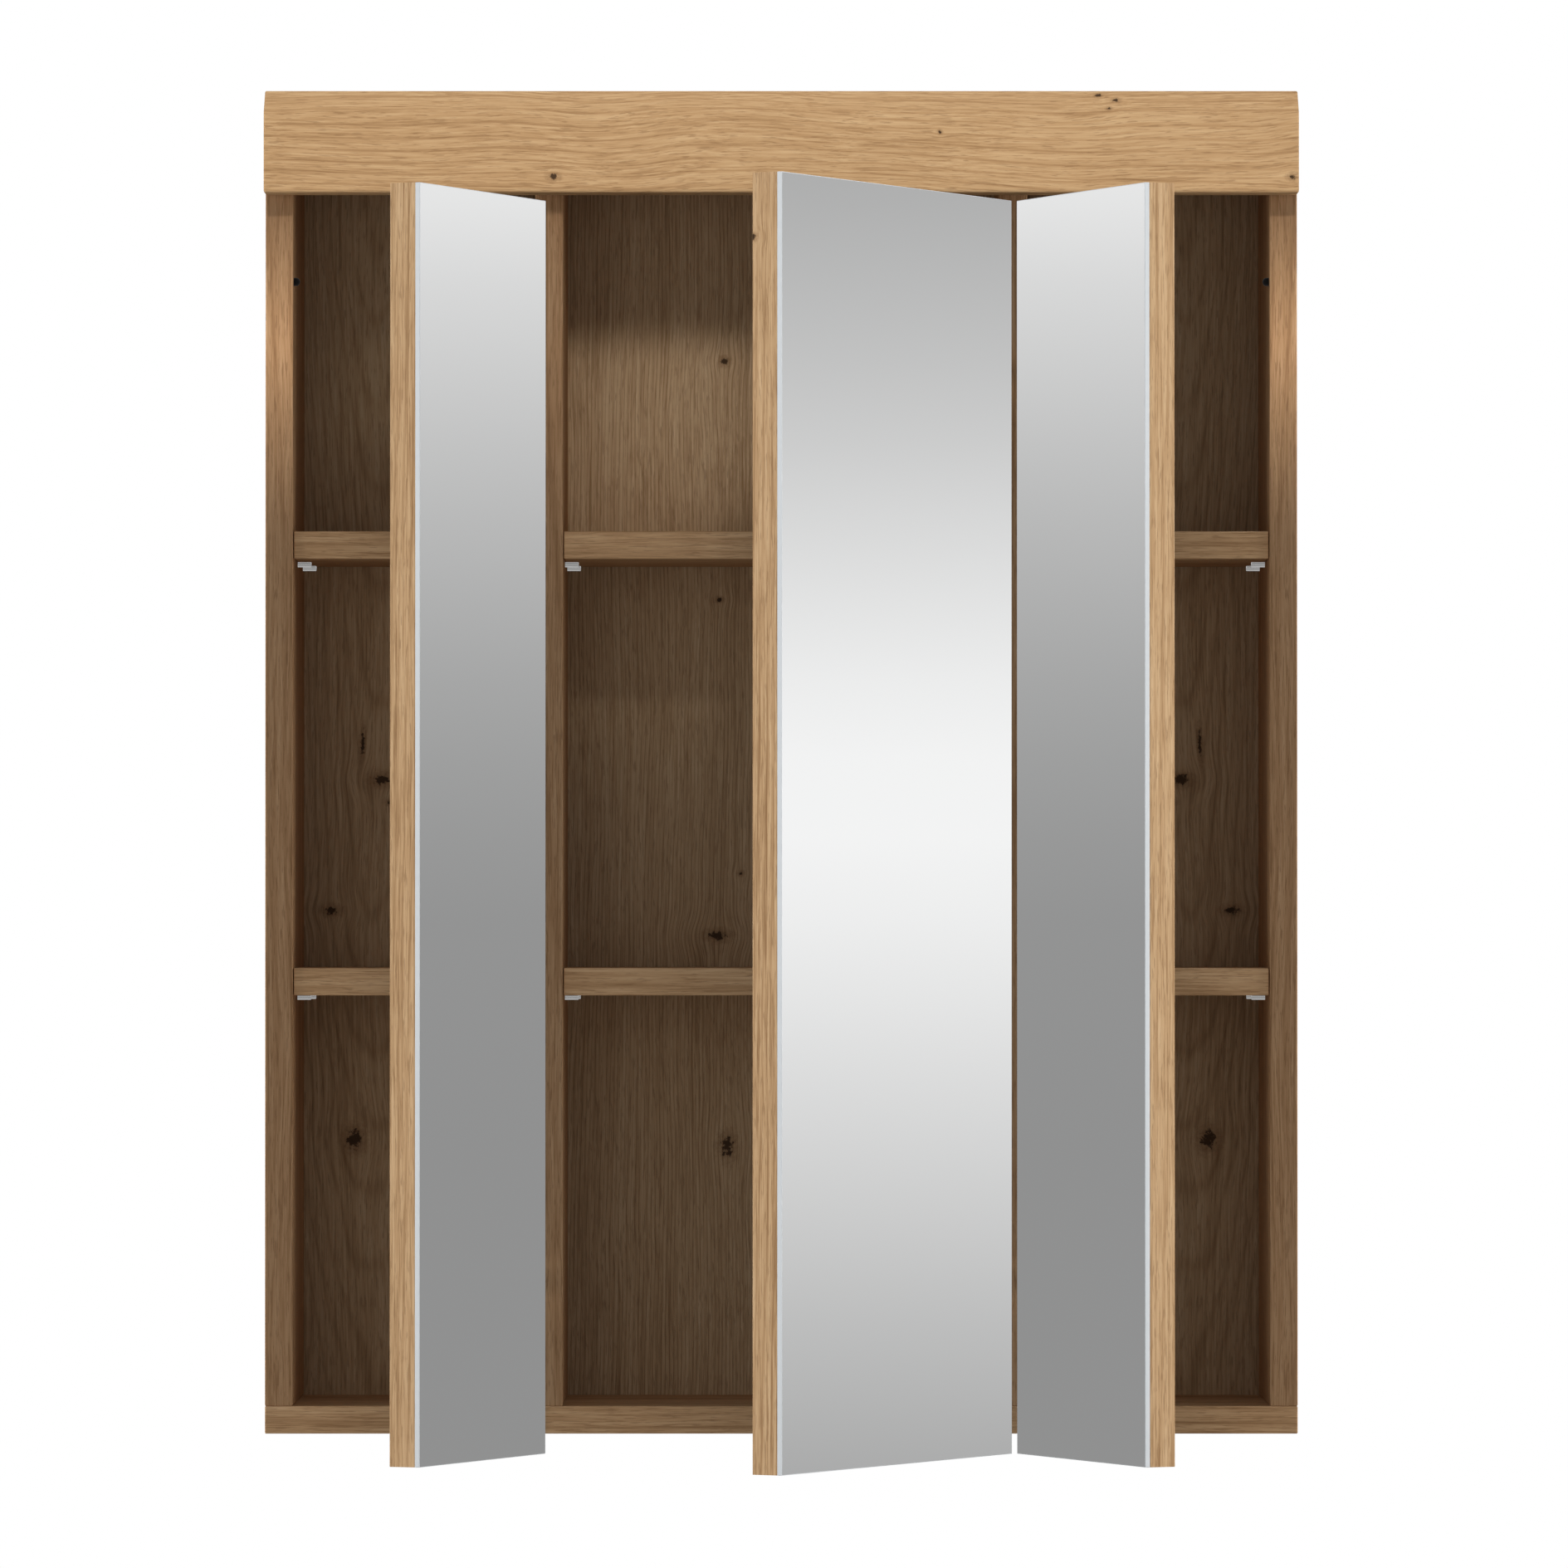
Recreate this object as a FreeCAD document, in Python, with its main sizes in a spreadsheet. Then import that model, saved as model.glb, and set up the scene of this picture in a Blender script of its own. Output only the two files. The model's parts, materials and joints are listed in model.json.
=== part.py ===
import FreeCAD, Part
import Sketcher
import os
import re

# A wall-hung mirror cabinet with three doors, in millimetres. X runs to the right, Y into the wall and Z up.
# The origin lies on the wall, midway between the two wall-screw holes of the hanging rail.

sizes = {
    # carcass boards
    "cabinet_width": 600,
    "carcass_height": 780,
    "carcass_depth": 150,
    "board": 16,
    "partition_offset": 135,
    # back panel in its grooves
    "back_thickness": 3,
    "back_recess": 7,
    "tongue": 6,
    "groove_play": 0.2,
    # hanging rail and wall screws
    "rail_height": 32,
    "wall_hole_spacing": 400,
    "wall_hole_radius": 3.5,
    # crown board
    "crown_height": 60,
    "crown_thickness": 24,
    "crown_bevel_height": 13,
    "crown_bevel_depth": 16,
    "crown_edge_radius": 2.5,
    # shelves, by their undersides: the lower over the cabinet's underside, the upper below its top
    "shelf_thickness": 16,
    "lower_shelf": 254.5,
    "upper_shelf": 271.5,
    "shelf_play": 0.5,
    "shelf_setback": 2,
    "shelf_back_gap": 1,
    # shelf pins, the front ones by their distance behind the carcass front, the rear ones by their
    # distance before the back panel
    "shelf_pin_radius": 1.5,
    "shelf_pin_reach": 8,
    "shelf_pin_socket": 6.5,
    "shelf_pin_front": 60,
    "shelf_pin_rear": 16,
    # fits of pins, dowels and screws in their holes
    "hole_play": 0.05,
    "hole_end_play": 0.3,
    # dowels and assembly screws, the front ones by their distance behind the carcass front, the rear ones
    # by their distance from the wall
    "dowel_radius": 4,
    "dowel_sunk": 11,
    "dowel_rise": 18,
    "dowel_front": 25,
    "dowel_rear": 35,
    "joint_front": 50,
    "joint_rear": 60,
    "assembly_radius": 2.5,
    "assembly_head_radius": 4.5,
    "assembly_head_height": 3,
    "assembly_bite": 34,
    # cam fittings of the top panel
    "cam_radius": 7.5,
    "cam_height": 12.5,
    "cam_inset": 24,
    "cam_bolt_radius": 3,
    "cam_bolt_bite": 10,
    # crown brackets
    "bracket_offset": 210,
    "bracket_width": 18,
    "bracket_leg": 20,
    "bracket_sheet": 2,
    "bracket_hole": 12,
    # small screws of brackets and hinges
    "screw_radius": 1.5,
    "screw_head_radius": 3,
    "screw_head_height": 1.6,
    "bracket_screw_bite": 11,
    "leaf_screw_bite": 6.5,
    "door_screw_bite": 11,
    # domed plugs in the side panels
    "plug_radius": 2.4,
    "plug_rise": 3.7,
    "plug_stem_radius": 2,
    "plug_stem": 7,
    "plug_height": 670,
    "plug_setback": 8,
    # doors
    "door_board": 16,
    "glass": 3,
    "door_gap": 2.4,
    "door_spacing": 3,
    "door_overhang": 11,
    "door_top_gap": 4,
    "bumper_radius": 1.8,
    "bumper_thickness": 1.6,
    "bumper_inset": 5.5,
    "bumper_level": 30,
    # how far each door stands open, in degrees
    "left_open": 65.5,
    "middle_open": 60,
    "right_open": 65,
    # knuckle hinges, let into the doors' hinge edges
    "hinge_inset": 100,
    "leaf_sheet": 1.2,
    "leaf_half_height": 22,
    "fixed_leaf_reach": 40,
    "fixed_leaf_setback": 1,
    "door_leaf_reach": 36,
    "leaf_screw_near": 9,
    "leaf_screw_far": 29,
    "leaf_screw_level": 15,
    "pin_stand": 1.3,
    "hinge_pin_radius": 0.9,
    "hinge_pin_play": 0.05,
    "knuckle_radius": 1.5,
    "knuckle_room": 0.3,
    "knuckle_half": 7,
    "knuckle_outer": 7,
    "knuckle_gap": 0.2,
}

# planes that many pieces share
inner = "(cabinet_width / 2 - board)"
front = "(-carcass_depth)"
high = "(board + rail_height / 2)"
low = f"({high} - carcass_height)"
floor = f"({low} + board)"
ceiling = "(rail_height / 2)"
back_face = "(-back_recess - back_thickness)"
door_low = f"({low} - door_overhang)"
door_high = f"({high} - crown_height - door_top_gap)"
door_face = "(-carcass_depth - door_gap - door_board - glass)"
door_back = "(glass + door_board)"
pin_from_edge = "(board / 2 - door_spacing / 2 + pin_stand)"
pin_from_face = "(glass + knuckle_room + knuckle_radius)"
knuckle_reach = "(knuckle_half + knuckle_gap + knuckle_outer)"
hinge_levels = (f"({door_low} + hinge_inset)", f"({door_high} - hinge_inset)")

compartments = {
    "left": (f"(-{inner})", "(-partition_offset - board / 2)"),
    "middle": ("(-partition_offset + board / 2)", "(partition_offset - board / 2)"),
    "right": ("(partition_offset + board / 2)", inner),
}
sides = {"left": -1, "right": 1}
shelf_levels = {"lower": f"({low} + lower_shelf)", "upper": f"({high} - upper_shelf)"}
shelf_pin_rows = (f"({front} + shelf_pin_front)", f"({back_face} - shelf_pin_rear)")
dowel_rows = (f"({front} + dowel_front)", "(-dowel_rear)")
joint_rows = (f"({front} + joint_front)", "(-joint_rear)")

# hinge side, closed hinge edge, width and opening of each door; on side 1 the door lies right of its hinge
doors = {
    "left": (-1, "(-partition_offset - door_spacing / 2)",
             "(cabinet_width / 2 - partition_offset - door_spacing / 2)", "left_open"),
    "middle": (-1, "(partition_offset - door_spacing / 2)",
               "(2 * partition_offset - door_spacing)", "middle_open"),
    "right": (1, "(partition_offset + door_spacing / 2)",
              "(cabinet_width / 2 - partition_offset - door_spacing / 2)", "right_open"),
}

doc = FreeCAD.newDocument("mirror_cabinet")
sheet = doc.addObject("Spreadsheet::Sheet", "dim")
for row, (alias, value) in enumerate(sizes.items(), start=1):
    sheet.set(f"A{row}", alias)
    sheet.set(f"B{row}", str(value))
    sheet.setAlias(f"B{row}", alias)
doc.recompute()

nodes = []
carvings = []
directions = {
    "x": FreeCAD.Rotation(FreeCAD.Vector(0, 1, 0), 90),
    "y": FreeCAD.Rotation(FreeCAD.Vector(1, 0, 0), -90),
    "z": FreeCAD.Rotation(),
}


def bound(text):
    """An expression in which each size's name stands for its cell."""
    return re.sub(r"[a-z_]+", lambda found: f"dim.{found[0]}" if found[0] in sizes else found[0], text)


def place(piece, spot):
    for axis, value in zip("xyz", spot):
        piece.setExpression(f"Placement.Base.{axis}", bound(value))
    return piece


def slab(*ends):
    """A block between two ends on each axis."""
    piece = doc.addObject("Part::Box", "slab")
    for side, (one, two) in zip(("Length", "Width", "Height"), ends):
        piece.setExpression(side, bound(f"abs({two} - ({one}))"))
    return place(piece, [f"min({one}; {two})" for one, two in ends])


def rod(along, ends, at, radius):
    """A round bar along one axis, at its other two coordinates."""
    one, two = ends
    piece = doc.addObject("Part::Cylinder", "rod")
    piece.setExpression("Radius", bound(radius))
    piece.setExpression("Height", bound(f"abs({two} - ({one}))"))
    piece.Placement = FreeCAD.Placement(FreeCAD.Vector(), directions[along])
    spot = list(at)
    spot.insert("xyz".index(along), f"min({one}; {two})")
    return place(piece, spot)


def group(pieces):
    if len(pieces) == 1:
        return pieces[0]
    piece = doc.addObject("Part::Compound", "group")
    piece.Links = pieces
    return piece


def join(*pieces):
    piece = doc.addObject("Part::MultiFuse", "join")
    piece.Shapes = list(pieces)
    return piece


def carve(base, tools):
    piece = doc.addObject("Part::Cut", "carve")
    piece.Base = base
    piece.Tool = group(tools)
    carvings.append(piece)
    return piece


def name_node(label, pieces):
    piece = group(pieces)
    piece.Label = label
    nodes.append(piece)
    return piece


def screw(along, tip, seat, outer, at):
    """A pan-head screw: the shank runs from the tip to the seat, and the head on to the outer end."""
    return join(rod(along, (tip, seat), at, "screw_radius"),
                rod(along, (seat, outer), at, "screw_head_radius"))


def screw_hole(along, tip, seat, at):
    return rod(along, (tip, seat), at, "screw_radius + hole_play")


def shelf_pin_bars(compartment, wall, play="0"):
    """The four bars in one wall of a compartment: wall 0 is its left face, wall 1 its right."""
    face = compartments[compartment][wall]
    into = "+" if wall else "-"
    out = "-" if wall else "+"
    buried = f"{face} {into} (shelf_pin_socket + {play} * hole_end_play)"
    free = f"{face} {out} shelf_pin_reach"
    bars = []
    for level in shelf_levels.values():
        for y in shelf_pin_rows:
            spot = (y, f"{level} - shelf_pin_radius")
            bars.append(rod("x", (buried, free), spot, f"shelf_pin_radius + {play} * hole_play"))
    return bars


def upright_dowels(x, play="0"):
    """Dowels between the bottom panel and the foot of an upright."""
    ends = (f"{floor} - dowel_sunk - {play} * hole_end_play",
            f"{floor} + dowel_rise + {play} * hole_end_play")
    return [rod("z", ends, (x, y), f"dowel_radius + {play} * hole_play") for y in dowel_rows]


def partition_dowels(x, play="0"):
    """Dowels between the top panel and the head of a partition."""
    ends = (f"{ceiling} - dowel_rise - {play} * hole_end_play",
            f"{ceiling} + dowel_sunk + {play} * hole_end_play")
    return [rod("z", ends, (x, y), f"dowel_radius + {play} * hole_play") for y in dowel_rows]


def end_dowels(side, play="0"):
    """Dowels between a side panel and the ends of the top panel and the hanging rail."""
    ends = (f"{side} * ({inner} - dowel_rise - {play} * hole_end_play)",
            f"{side} * ({inner} + dowel_sunk + {play} * hole_end_play)")
    spots = [(y, f"{high} - board / 2") for y in dowel_rows]
    spots.append(("-board / 2", "0"))
    return [rod("x", ends, spot, f"dowel_radius + {play} * hole_play") for spot in spots]


def assembly_shanks(x, play="0"):
    """Screw shanks from below, through the bottom panel into an upright."""
    ends = (f"{low} + assembly_head_height", f"{floor} + assembly_bite + {play} * hole_end_play")
    return [rod("z", ends, (x, y), f"assembly_radius + {play} * hole_play") for y in joint_rows]


def assembly_heads(x, play="0"):
    ends = (low, f"{low} + assembly_head_height")
    return [rod("z", ends, (x, y), f"assembly_head_radius + {play} * hole_play") for y in joint_rows]


def cam_bolt_bars(side, play="0"):
    """Bolts of the cam fittings, from the side panel to the middle of each cam."""
    ends = (f"{side} * ({inner} - cam_inset - {play} * hole_end_play)",
            f"{side} * ({inner} + cam_bolt_bite + {play} * hole_end_play)")
    return [rod("x", ends, (y, f"{high} - board / 2"), f"cam_bolt_radius + {play} * hole_play")
            for y in joint_rows]


def cam_discs(side, play="0"):
    ends = (ceiling, f"{ceiling} + cam_height + {play} * hole_end_play")
    x = f"{side} * ({inner} - cam_inset)"
    return [rod("z", ends, (x, y), f"cam_radius + {play} * hole_play") for y in joint_rows]


def plug_stem_bar(side, play="0"):
    ends = (f"{side} * {inner}", f"{side} * ({inner} + plug_stem + {play} * hole_end_play)")
    return rod("x", ends, ("plug_setback - carcass_depth", f"{low} + plug_height"),
               f"plug_stem_radius + {play} * hole_play")


# the screws of one door's two hinges: how far each sits from its leaf's knuckle side, and its height
leaf_screw_spots = [(reach, f"{level} {way} leaf_screw_level")
                    for level in hinge_levels
                    for reach in ("leaf_screw_near", "leaf_screw_far")
                    for way in "+-"]
fixed_leaf_spots = [(f"{front} + fixed_leaf_setback + {reach}", height)
                    for reach, height in leaf_screw_spots]


def fixed_leaf_planes(door):
    """X of the leaf's seat on the partition, its outer face, the screw tips and the heads' tops."""
    side, edge = doors[door][:2]
    seat = f"({edge} + {side} * (board / 2 - door_spacing / 2))"
    outer = f"({seat} + {side} * leaf_sheet)"
    tip = f"({seat} - {side} * leaf_screw_bite)"
    top = f"({outer} + {side} * screw_head_height)"
    return seat, outer, tip, top


def fixed_leaf_holes(door):
    outer, tip = fixed_leaf_planes(door)[1:3]
    return [screw_hole("x", tip, outer, spot) for spot in fixed_leaf_spots]


def bracket_screws_of(side):
    """One screw into the crown board and one up into the top panel, for one bracket."""
    x = f"{side} * bracket_offset"
    into_crown = (f"{front} - bracket_screw_bite", f"{front} + bracket_sheet",
                  f"{front} + bracket_sheet + screw_head_height")
    into_top = (f"{ceiling} + bracket_screw_bite", f"{ceiling} - bracket_sheet",
                f"{ceiling} - bracket_sheet - screw_head_height")
    return (("y", into_crown, (x, f"{ceiling} - bracket_hole")),
            ("z", into_top, (x, f"{front} + bracket_hole")))


def bracket_holes(side, along):
    return [screw_hole(way, ends[0], ends[1], at)
            for way, ends, at in bracket_screws_of(side) if way == along]


def make_side_panel(name, side):
    body = slab((f"{side} * {inner}", f"{side} * cabinet_width / 2"), (front, "0"), (floor, high))
    groove = slab((f"{side} * {inner}", f"{side} * ({inner} + tongue + hole_end_play)"),
                  (f"{back_face} - groove_play / 2", "groove_play / 2 - back_recess"), (floor, high))
    wall = 0 if side < 0 else 1
    foot = f"{side} * (cabinet_width / 2 - board / 2)"
    holes = shelf_pin_bars(name, wall, "1") + upright_dowels(foot, "1") + assembly_shanks(foot, "1")
    holes += end_dowels(side, "1") + cam_bolt_bars(side, "1") + [plug_stem_bar(side, "1")]
    name_node(f"{name}_side_panel", [carve(body, [groove] + holes)])


def make_partition(name, side):
    middle = f"{side} * partition_offset"
    body = slab((f"{middle} - board / 2", f"{middle} + board / 2"), (front, back_face), (floor, ceiling))
    notch = slab((f"{middle} - board / 2", f"{middle} + board / 2"), ("-board", back_face),
                 ("-rail_height / 2", ceiling))
    outer_wall, middle_wall = (1, 0) if side < 0 else (0, 1)
    holes = shelf_pin_bars(name, outer_wall, "1") + shelf_pin_bars("middle", middle_wall, "1")
    holes += upright_dowels(middle, "1") + assembly_shanks(middle, "1") + partition_dowels(middle, "1")
    for door in ("left",) if side < 0 else ("middle", "right"):
        holes += fixed_leaf_holes(door)
    name_node(f"{name}_partition", [carve(body, [notch] + holes)])


def upright_middles():
    return [f"{side} * {offset}" for offset in ("(cabinet_width / 2 - board / 2)", "partition_offset")
            for side in sides.values()]


def make_bottom_panel():
    body = slab(("-cabinet_width / 2", "cabinet_width / 2"), (front, "0"), (low, floor))
    groove = slab((f"-({inner} + tongue + hole_end_play)", f"{inner} + tongue + hole_end_play"),
                  (f"{back_face} - groove_play / 2", "groove_play / 2 - back_recess"),
                  (f"{floor} - tongue - hole_end_play", floor))
    holes = []
    for x in upright_middles():
        holes += upright_dowels(x, "1") + assembly_shanks(x, "1") + assembly_heads(x, "1")
    name_node("bottom_panel", [carve(carve(body, [groove]), holes)])


def make_top_panel():
    body = slab((f"-{inner}", inner), (front, "0"), (ceiling, high))
    cams = []
    holes = []
    for side in sides.values():
        cams += cam_discs(side, "1")
        holes += end_dowels(side, "1")[:2] + cam_bolt_bars(side, "1")
        holes += partition_dowels(f"{side} * partition_offset", "1") + bracket_holes(side, "z")
    name_node("top_panel", [carve(carve(body, cams), holes)])


def make_back_panel():
    name_node("back_panel", [slab((f"-({inner} + tongue)", f"{inner} + tongue"), (back_face, "-back_recess"),
                                  (f"{floor} - tongue", "-rail_height / 2"))])


def make_hanging_rail():
    body = slab((f"-{inner}", inner), ("-board", "0"), ("-rail_height / 2", ceiling))
    holes = [rod("y", ("-board", "0"), (f"{side} * wall_hole_spacing / 2", "0"), "wall_hole_radius")
             for side in sides.values()]
    for side in sides.values():
        holes += end_dowels(side, "1")[2:]
    name_node("hanging_rail", [carve(body, holes)])


def make_crown_board():
    """A profile of five corners run across the front, with its lower front edge rounded."""
    corners = [("0", "0"), ("crown_thickness", "0"), ("crown_thickness", "crown_height"),
               ("crown_bevel_depth", "crown_height"), ("0", "crown_height - crown_bevel_height")]
    body = doc.addObject("PartDesign::Body", "crown")
    sketch = body.newObject("Sketcher::SketchObject", "crown_profile")
    plane = next(item for item in body.Origin.OriginFeatures if item.Role == "YZ_Plane")
    sketch.AttachmentSupport = [(plane, "")]
    sketch.MapMode = "FlatFace"
    spots = [FreeCAD.Vector(sheet.evalExpression(bound(across)), sheet.evalExpression(bound(up)), 0)
             for across, up in corners]
    count = len(spots)
    for number in range(count):
        sketch.addGeometry(Part.LineSegment(spots[number], spots[(number + 1) % count]), False)
    start, end = 1, 2
    flat_axis, upright_axis = -1, -2
    for number, (across, up) in enumerate(corners):
        sketch.addConstraint(Sketcher.Constraint("Coincident", number, end, (number + 1) % count, start))
        for kind, value, now, axis in (("DistanceX", across, spots[number].x, upright_axis),
                                       ("DistanceY", up, spots[number].y, flat_axis)):
            if value == "0":
                sketch.addConstraint(Sketcher.Constraint("PointOnObject", number, start, axis))
            else:
                rule = Sketcher.Constraint(kind, flat_axis, start, number, start, now)
                sketch.setExpression(f"Constraints[{sketch.addConstraint(rule)}]", bound(value))
    pad = body.newObject("PartDesign::Pad", "crown_run")
    pad.Profile = sketch
    pad.setExpression("Length", bound("cabinet_width"))
    doc.recompute()
    touching = 1e-6
    edges = [f"Edge{number}" for number, edge in enumerate(pad.Shape.Edges, start=1)
             if edge.BoundBox.YMax < touching and edge.BoundBox.ZMax < touching]
    fillet = body.newObject("PartDesign::Fillet", "crown_edge")
    fillet.Base = (pad, edges)
    fillet.setExpression("Radius", bound("crown_edge_radius"))
    place(body, ("-cabinet_width / 2", f"{front} - crown_thickness", f"{high} - crown_height"))
    holes = []
    for side in sides.values():
        holes += bracket_holes(side, "y")
    name_node("crown_board", [carve(body, holes)])


def make_shelves():
    for name, (left, right) in compartments.items():
        for level, underside in shelf_levels.items():
            name_node(f"{name}_{level}_shelf", [slab(
                (f"{left} + shelf_play", f"{right} - shelf_play"),
                (f"{front} + shelf_setback", f"{back_face} - shelf_back_gap"),
                (underside, f"{underside} + shelf_thickness"))])
        name_node(f"{name}_shelf_pins", shelf_pin_bars(name, 0) + shelf_pin_bars(name, 1))


def make_joinery():
    dowels = []
    screws = []
    for x in upright_middles():
        dowels += upright_dowels(x)
        screws += [join(shank, head) for shank, head in zip(assembly_shanks(x), assembly_heads(x))]
    bolts = []
    cams = []
    plugs = []
    for side in sides.values():
        dowels += end_dowels(side) + partition_dowels(f"{side} * partition_offset")
        bolts += cam_bolt_bars(side)
        cams += [carve(disc, [bore]) for disc, bore in zip(cam_discs(side), cam_bolt_bars(side, "1"))]
        plugs.append(make_plug(side))
    name_node("wood_dowels", dowels)
    name_node("assembly_screws", screws)
    name_node("cam_bolts", bolts)
    name_node("cam_locks", cams)
    name_node("side_plugs", plugs)


def make_plug(side):
    y, z = "(plug_setback - carcass_depth)", f"({low} + plug_height)"
    crest = f"{side} * ({inner} - plug_rise + plug_radius)"
    dome = doc.addObject("Part::Sphere", "dome")
    dome.setExpression("Radius", bound("plug_radius"))
    place(dome, (crest, y, z))
    neck = rod("x", (f"{side} * {inner}", crest), (y, z), "plug_radius")
    return join(dome, neck, plug_stem_bar(side))


def make_crown_brackets():
    brackets = []
    screws = []
    for side in sides.values():
        across = (f"{side} * bracket_offset - bracket_width / 2",
                  f"{side} * bracket_offset + bracket_width / 2")
        upright = slab(across, (front, f"{front} + bracket_sheet"), (f"{ceiling} - bracket_leg", ceiling))
        flat = slab(across, (front, f"{front} + bracket_leg"), (f"{ceiling} - bracket_sheet", ceiling))
        holes = bracket_holes(side, "y") + bracket_holes(side, "z")
        brackets.append(carve(join(upright, flat), holes))
        screws += [screw(along, *ends, at) for along, ends, at in bracket_screws_of(side)]
    name_node("crown_brackets", brackets)
    name_node("bracket_screws", screws)


def make_fixed_leaf(door, level):
    """A flat leaf on the partition, with a neck that carries the hinge's middle knuckle."""
    side, edge = doors[door][:2]
    seat, outer = fixed_leaf_planes(door)[:2]
    start = f"{front} + fixed_leaf_setback"
    pin = (f"{edge} + {side} * {pin_from_edge}", f"{door_face} + {pin_from_face}")
    plate = slab((seat, outer), (start, f"{start} + fixed_leaf_reach"),
                 (f"{level} - leaf_half_height", f"{level} + leaf_half_height"))
    tall = (f"{level} - knuckle_half", f"{level} + knuckle_half")
    neck = slab((seat, outer), (pin[1], start), tall)
    knuckle = rod("z", tall, pin, "knuckle_radius")
    bore = rod("z", tall, pin, "hinge_pin_radius + hole_play")
    return carve(join(plate, neck, knuckle), [bore])


def make_fixed_hinges():
    screws = []
    pins = []
    for door, (side, edge, *_) in doors.items():
        outer, tip, top = fixed_leaf_planes(door)[1:]
        leaves = group([make_fixed_leaf(door, level) for level in hinge_levels])
        name_node(f"{door}_fixed_leaves", [carve(leaves, fixed_leaf_holes(door))])
        screws += [screw("x", tip, outer, top, spot) for spot in fixed_leaf_spots]
        pin = (f"{edge} + {side} * {pin_from_edge}", f"{door_face} + {pin_from_face}")
        for level in hinge_levels:
            ends = (f"{level} - {knuckle_reach}", f"{level} + {knuckle_reach}")
            pins.append(rod("z", ends, pin, "hinge_pin_radius"))
    name_node("fixed_leaf_screws", screws)
    name_node("hinge_pins", pins)


def make_door(door):
    """A door drawn about its own hinge axis, shut, and then turned to where it stands."""
    side, edge, width, opening = doors[door]

    def across(*places):
        return tuple(f"{side} * ({spot} - {pin_from_edge})" for spot in places)

    def behind(*places):
        return tuple(f"{spot} - {pin_from_face}" for spot in places)

    def turned(label, pieces):
        piece = doc.addObject("Part::Compound", "turned")
        piece.Links = pieces
        name_node(label, [piece])
        place(piece, (f"{edge} + {side} * {pin_from_edge}", f"{door_face} + {pin_from_face}", "0"))
        piece.setExpression("Placement.Rotation.Angle", bound(f"{-side} * {opening}"))

    tall = (door_low, door_high)
    wall = f"({pin_from_edge} + knuckle_radius + knuckle_room)"
    wall_back = f"({wall} + leaf_sheet)"
    seat = door_back
    plate_top = f"({door_back} + leaf_sheet)"
    tip = f"({door_back} - door_screw_bite)"
    head_top = f"({plate_top} + screw_head_height)"
    screw_spots = [(across(f"({wall} + {reach})")[0], height) for reach, height in leaf_screw_spots]

    notches = []
    leaves = []
    for level in hinge_levels:
        notches.append(slab(across("0", wall_back), behind("glass", seat),
                            (f"{level} - {knuckle_reach} - knuckle_room",
                             f"{level} + {knuckle_reach} + knuckle_room")))
        lift = (f"{level} - {knuckle_reach}", f"{level} + {knuckle_reach}")
        upright = slab(across(wall, wall_back), behind("glass + knuckle_room", plate_top), lift)
        plate = slab(across(wall, f"({wall} + door_leaf_reach)"), behind(seat, plate_top),
                     (f"{level} - leaf_half_height", f"{level} + leaf_half_height"))
        pieces = [upright, plate]
        bores = []
        for way in "+-":
            ends = (f"{level} {way} (knuckle_half + knuckle_gap)", f"{level} {way} {knuckle_reach}")
            pieces.append(rod("z", ends, ("0", "0"), "knuckle_radius"))
            pieces.append(slab(across(pin_from_edge, wall),
                               behind("glass + knuckle_room", "glass + knuckle_room + leaf_sheet"), ends))
            bores.append(rod("z", ends, ("0", "0"), "hinge_pin_radius + hinge_pin_play"))
        leaves.append(carve(join(*pieces), bores))

    shank_ends = behind(tip, plate_top)
    screw_ends = behind(tip, plate_top, head_top)
    board = slab(across("0", width), behind("glass", seat), tall)
    board_holes = [screw_hole("y", *shank_ends, spot) for spot in screw_spots]
    turned(f"{door}_door_board", [carve(board, notches + board_holes)])
    turned(f"{door}_mirror", [slab(across("0", width), behind("0", "glass"), tall)])
    leaf_holes = [screw_hole("y", *shank_ends, spot) for spot in screw_spots]
    turned(f"{door}_door_leaves", [carve(group(leaves), leaf_holes)])
    turned(f"{door}_door_leaf_screws", [screw("y", *screw_ends, spot) for spot in screw_spots])
    bumper_x = across(f"({width} - bumper_inset)")[0]
    bumper_ends = behind(seat, f"({seat} + bumper_thickness)")
    turned(f"{door}_door_bumpers", [rod("y", bumper_ends, (bumper_x, z), "bumper_radius")
                                    for z in (f"{door_low} + bumper_level", f"{door_high} - bumper_level")])


for name, side in sides.items():
    make_side_panel(name, side)
    make_partition(name, side)
make_bottom_panel()
make_top_panel()
make_back_panel()
make_hanging_rail()
make_crown_board()
make_shelves()
make_joinery()
make_crown_brackets()
make_fixed_hinges()
for door in doors:
    make_door(door)
doc.recompute()

for piece in doc.Objects:
    if "Invalid" in piece.State or "Error" in piece.State:
        raise RuntimeError(f"{piece.Label} could not be built: {piece.State}")
for piece in nodes:
    if piece.Shape.isNull() or not piece.Shape.isValid():
        raise RuntimeError(f"{piece.Label} has no valid shape")
for piece in carvings:
    if piece.Shape.Volume >= piece.Base.Shape.Volume:
        raise RuntimeError(f"a cut of {piece.Base.Label} removes nothing")

os.makedirs("parts", exist_ok=True)
for piece in nodes:
    piece.Shape.exportStep(os.path.join("parts", f"{piece.Label}.step"))
print(f"{len(nodes)} sub-parts, {sum(len(piece.Shape.Solids) for piece in nodes)} solids")
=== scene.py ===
import json
import math

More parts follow.
